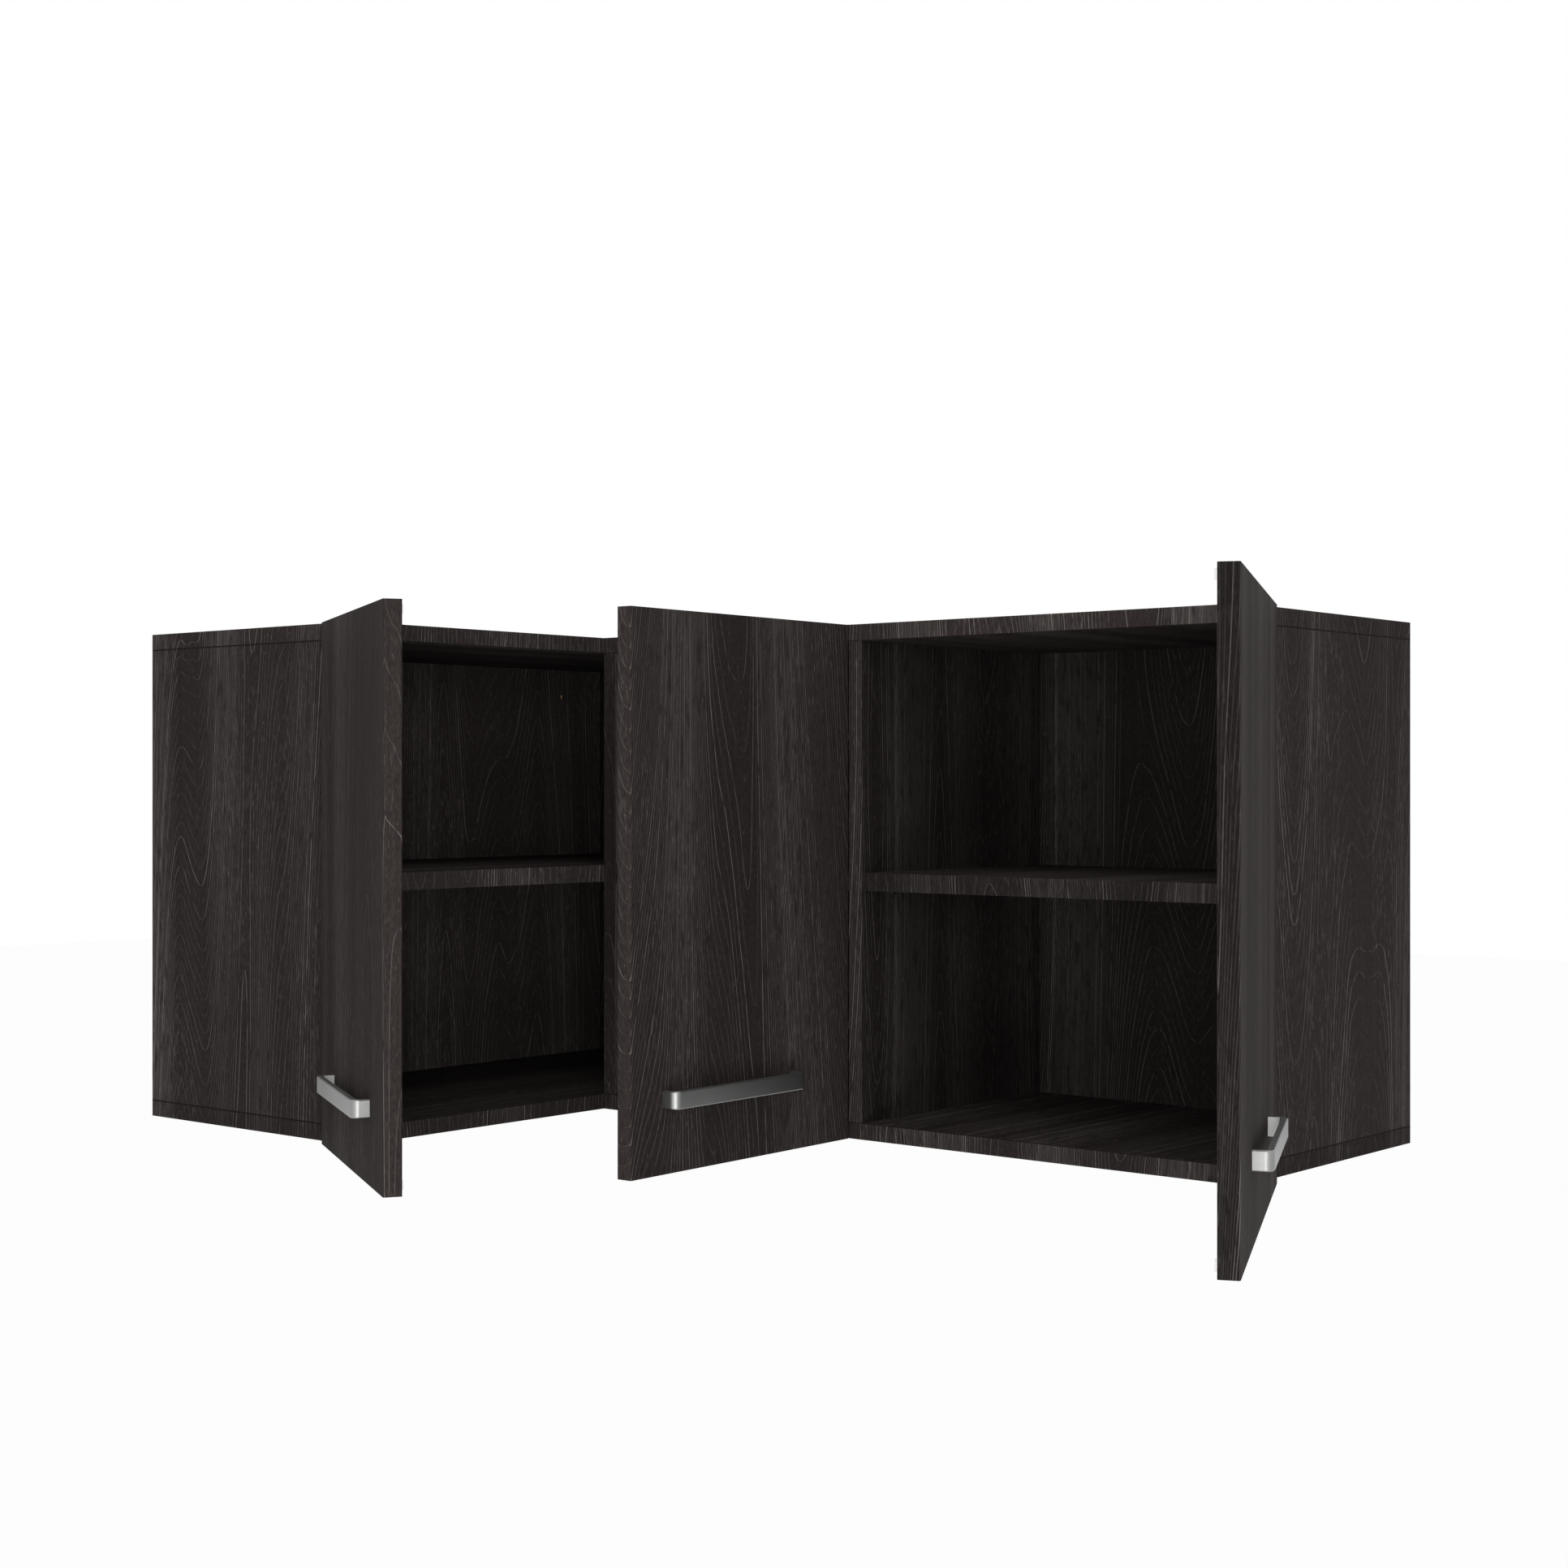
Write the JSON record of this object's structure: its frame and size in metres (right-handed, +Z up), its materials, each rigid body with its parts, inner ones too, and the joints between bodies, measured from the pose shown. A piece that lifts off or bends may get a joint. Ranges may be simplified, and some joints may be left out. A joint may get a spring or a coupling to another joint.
{
  "type": "corner wall cabinet",
  "caption": "L-shaped corner wall cabinet with hinged doors, mid-height shelves, bow handles and cup hinges; shown with its doors open.",
  "frame": {"origin": "the room corner where the two back planes meet, at the cabinet's underside", "axes": "+X along the right wing away from the corner, -Y along the left wing away from the corner, +Z up; the right wing's doors face -Y and the left wing's door faces +X"},
  "size_m": [1.1784, 0.77, 0.46],
  "materials": {
    "wood": "very dark wenge-like decor with fine pale vertical grain, low sheen",
    "batten": "plain pale softwood, unfinished",
    "handle": "satin nickel",
    "hinge_steel": "bright nickel plate",
    "bumper": "clear soft dot"
  },
  "bodies": {
    "carcass": {"top_board": "wood", "bottom_board": "wood", "side_left": "wood", "corner_upright": "wood", "divider": "wood", "side_right": "wood", "back_panel_left": "wood", "back_panel_right": "wood", "top_rail_left": "batten", "top_rail_right": "batten", "bottom_rail_left": "batten", "bottom_rail_right": "batten", "corner_batten": "batten", "shelf_left": "wood", "shelf_middle": "wood", "shelf_right": "wood", "shelf_pins": "hinge_steel", "carcass_screws": "hinge_steel", "dowels": "batten", "hinge_plates": "hinge_steel", "hinge_plate_screws": "hinge_steel", "hinge_arms_left": "hinge_steel", "hinge_arms_middle": "hinge_steel", "hinge_arms_right": "hinge_steel", "hinge_arm_screws": "hinge_steel", "arm_pins_left": "hinge_steel", "arm_pins_right": "hinge_steel"},
    "left_door": {"door_left": "wood", "handle_left": "handle", "handle_screws_left": "hinge_steel", "hinge_cups_left": "hinge_steel", "cup_screws_left": "hinge_steel", "door_bumpers_left": "bumper"},
    "middle_door": {"door_middle": "wood", "handle_middle": "handle", "handle_screws_middle": "hinge_steel", "hinge_cups_middle": "hinge_steel", "hinge_pins_middle": "hinge_steel", "cup_screws_middle": "hinge_steel", "door_bumpers_middle": "bumper"},
    "right_door": {"door_right": "wood", "handle_right": "handle", "handle_screws_right": "hinge_steel", "hinge_cups_right": "hinge_steel", "cup_screws_right": "hinge_steel", "door_bumpers_right": "bumper"},
    "left_levers": {"hinge_levers_left": "hinge_steel", "lever_pins_left": "hinge_steel"},
    "right_levers": {"hinge_levers_right": "hinge_steel", "lever_pins_right": "hinge_steel"}
  },
  "joints": [
    {"name": "left_door_hinge", "type": "hinge", "parent": "carcass", "child": "left_door", "pos_m": [0.2876, -0.6033, 0.23], "axis": [0, 0, 1], "range_deg": [0, 120]},
    {"name": "middle_door_hinge", "type": "hinge", "parent": "carcass", "child": "middle_door", "pos_m": [0.60005, -0.309, 0.23], "axis": [0, 0, 1], "range_deg": [-92, 3]},
    {"name": "right_door_hinge", "type": "hinge", "parent": "carcass", "child": "right_door", "pos_m": [0.9933, -0.2876, 0.23], "axis": [0, 0, 1], "range_deg": [-115, 5]},
    {"name": "left_lever_pivot", "type": "hinge", "parent": "carcass", "child": "left_levers", "pos_m": [0.2781, -0.5902, 0.23], "axis": [0, 0, 1], "range_deg": [0, 63]},
    {"name": "right_lever_pivot", "type": "hinge", "parent": "carcass", "child": "right_levers", "pos_m": [0.9802, -0.2781, 0.23], "axis": [0, 0, 1], "range_deg": [-60.38, 2.62]}
  ],
  "couplings": [
    {"joint": "left_lever_pivot", "follows": "left_door_hinge", "ratio": 0.525},
    {"joint": "right_lever_pivot", "follows": "right_door_hinge", "ratio": 0.525}
  ]
}
